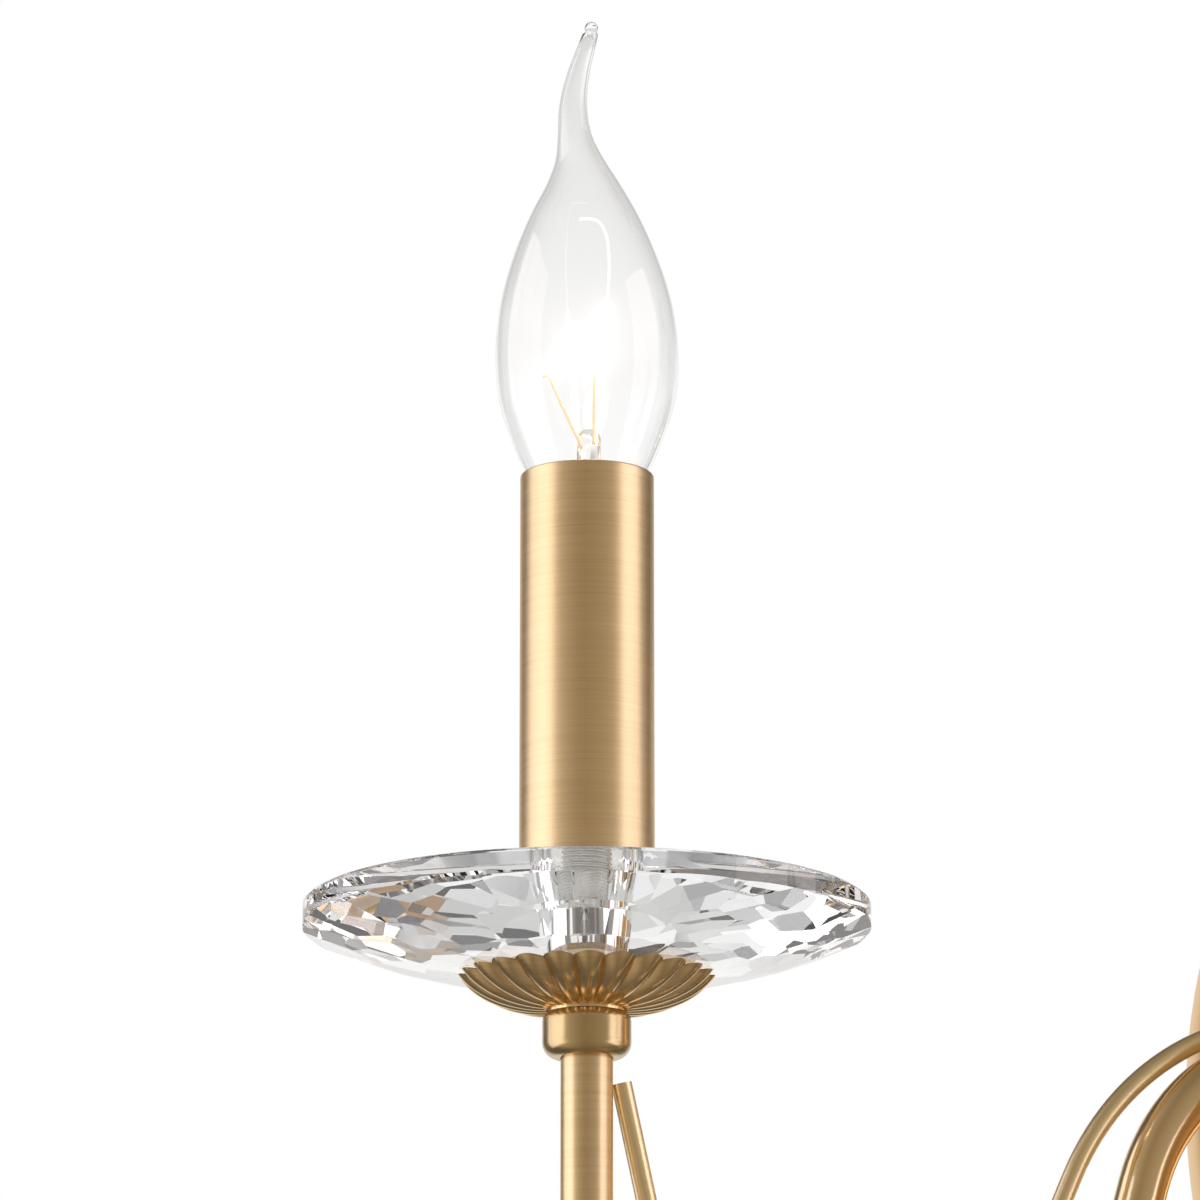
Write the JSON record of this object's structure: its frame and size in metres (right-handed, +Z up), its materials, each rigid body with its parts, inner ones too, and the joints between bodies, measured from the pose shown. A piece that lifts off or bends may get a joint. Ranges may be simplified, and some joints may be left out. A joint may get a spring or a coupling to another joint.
{
  "type": "multi arm chandelier",
  "caption": "Hanging chandelier with curved brass arms, crystal drip dishes and candle lamps round a turned urn, on a chain and ceiling canopy.",
  "frame": {"origin": "middle of the ceiling bracket's top face, between its two slots", "axes": "+Z up towards the ceiling, X along the bracket, the pictured arm points to -X and -Y"},
  "size_m": [0.455, 0.4086, 0.5414],
  "materials": {
    "satin_brass": "brushed satin",
    "crystal": "cut and polished",
    "clear_glass": "clear blown",
    "stem_glass": "pressed",
    "filament_wire": "drawn wire",
    "nickel": "nickel plated",
    "zinc_steel": "zinc plated",
    "holder_plastic": "moulded",
    "washer_plastic": "translucent",
    "wire_sheath": "smooth"
  },
  "bodies": {
    "ceiling": {"ceiling_bracket": "zinc_steel", "canopy": "satin_brass", "canopy_studs": "nickel", "canopy_nuts": "satin_brass", "canopy_loop": "satin_brass", "loop_collar": "satin_brass", "terminal_block": "holder_plastic"},
    "link_1": {"chain_link_1": "satin_brass"},
    "link_2": {"chain_link_2": "satin_brass"},
    "link_3": {"chain_link_3": "satin_brass"},
    "chandelier": {"accent_rod_1": "satin_brass", "accent_rod_2": "satin_brass", "accent_rod_3": "satin_brass", "arm_hub": "zinc_steel", "arm_tube_1": "satin_brass", "arm_tube_2": "satin_brass", "arm_tube_3": "satin_brass", "arm_wires": "wire_sheath", "bead_collar_1": "satin_brass", "bead_collar_2": "satin_brass", "bead_collar_3": "satin_brass", "candle_sleeve_1": "satin_brass", "candle_sleeve_2": "satin_brass", "candle_sleeve_3": "satin_brass", "centre_rod": "nickel", "column_beads": "satin_brass", "column_cups": "satin_brass", "column_loop": "satin_brass", "crystal_dish_1": "crystal", "crystal_dish_2": "crystal", "crystal_dish_3": "crystal", "dish_washers": "washer_plastic", "finial": "satin_brass", "fluted_cup_1": "satin_brass", "fluted_cup_2": "satin_brass", "fluted_cup_3": "satin_brass", "hub_screws": "nickel", "lock_nuts": "nickel", "rod_nuts": "nickel", "socket_body_1": "holder_plastic", "socket_body_2": "holder_plastic", "socket_body_3": "holder_plastic", "socket_contacts": "nickel", "threaded_nipples": "nickel", "upper_stem": "satin_brass", "urn_lower": "satin_brass", "urn_upper": "satin_brass"},
    "cap_1": {"bulb_cap_1": "nickel"},
    "lamp_1": {"bulb_glass_1": "clear_glass", "bulb_stem_1": "stem_glass", "bulb_filament_1": "filament_wire"},
    "cap_2": {"bulb_cap_2": "nickel"},
    "lamp_2": {"bulb_glass_2": "clear_glass", "bulb_stem_2": "stem_glass", "bulb_filament_2": "filament_wire"},
    "cap_3": {"bulb_cap_3": "nickel"},
    "lamp_3": {"bulb_glass_3": "clear_glass", "bulb_stem_3": "stem_glass", "bulb_filament_3": "filament_wire"}
  },
  "joints": [
    {"name": "link_1_swing", "type": "hinge", "parent": "ceiling", "child": "link_1", "pos_m": [0, 0, -0.0644], "axis": [1, 0, 0], "range_deg": [-15, 15]},
    {"name": "link_2_swing", "type": "hinge", "parent": "link_1", "child": "link_2", "pos_m": [0, 0, -0.0981], "axis": [0, 1, 0], "range_deg": [-15, 15]},
    {"name": "link_3_swing", "type": "hinge", "parent": "link_2", "child": "link_3", "pos_m": [0, 0, -0.1318], "axis": [1, 0, 0], "range_deg": [-15, 15]},
    {"name": "chandelier_swing", "type": "hinge", "parent": "link_3", "child": "chandelier", "pos_m": [0, 0, -0.1655], "axis": [0, 1, 0], "range_deg": [-15, 15]},
    {"name": "bulb_1_lift", "type": "slide", "parent": "chandelier", "child": "cap_1", "axis": [0, 0, 1], "range_m": [0, 0.0085]},
    {"name": "bulb_1_turn", "type": "hinge", "parent": "cap_1", "child": "lamp_1", "pos_m": [-0.17321, -0.1, -0.30423], "axis": [0, 0, 1], "range_deg": [0, 1080]},
    {"name": "bulb_2_lift", "type": "slide", "parent": "chandelier", "child": "cap_2", "axis": [0, 0, 1], "range_m": [0, 0.0085]},
    {"name": "bulb_2_turn", "type": "hinge", "parent": "cap_2", "child": "lamp_2", "pos_m": [0.17321, -0.1, -0.30423], "axis": [0, 0, 1], "range_deg": [0, 1080]},
    {"name": "bulb_3_lift", "type": "slide", "parent": "chandelier", "child": "cap_3", "axis": [0, 0, 1], "range_m": [0, 0.0085]},
    {"name": "bulb_3_turn", "type": "hinge", "parent": "cap_3", "child": "lamp_3", "pos_m": [0, 0.2, -0.30423], "axis": [0, 0, 1], "range_deg": [0, 1080]}
  ],
  "couplings": [
    {"joint": "bulb_1_lift", "follows": "bulb_1_turn", "m_per_rad": 0.00044882},
    {"joint": "bulb_2_lift", "follows": "bulb_2_turn", "m_per_rad": 0.00044882},
    {"joint": "bulb_3_lift", "follows": "bulb_3_turn", "m_per_rad": 0.00044882}
  ]
}
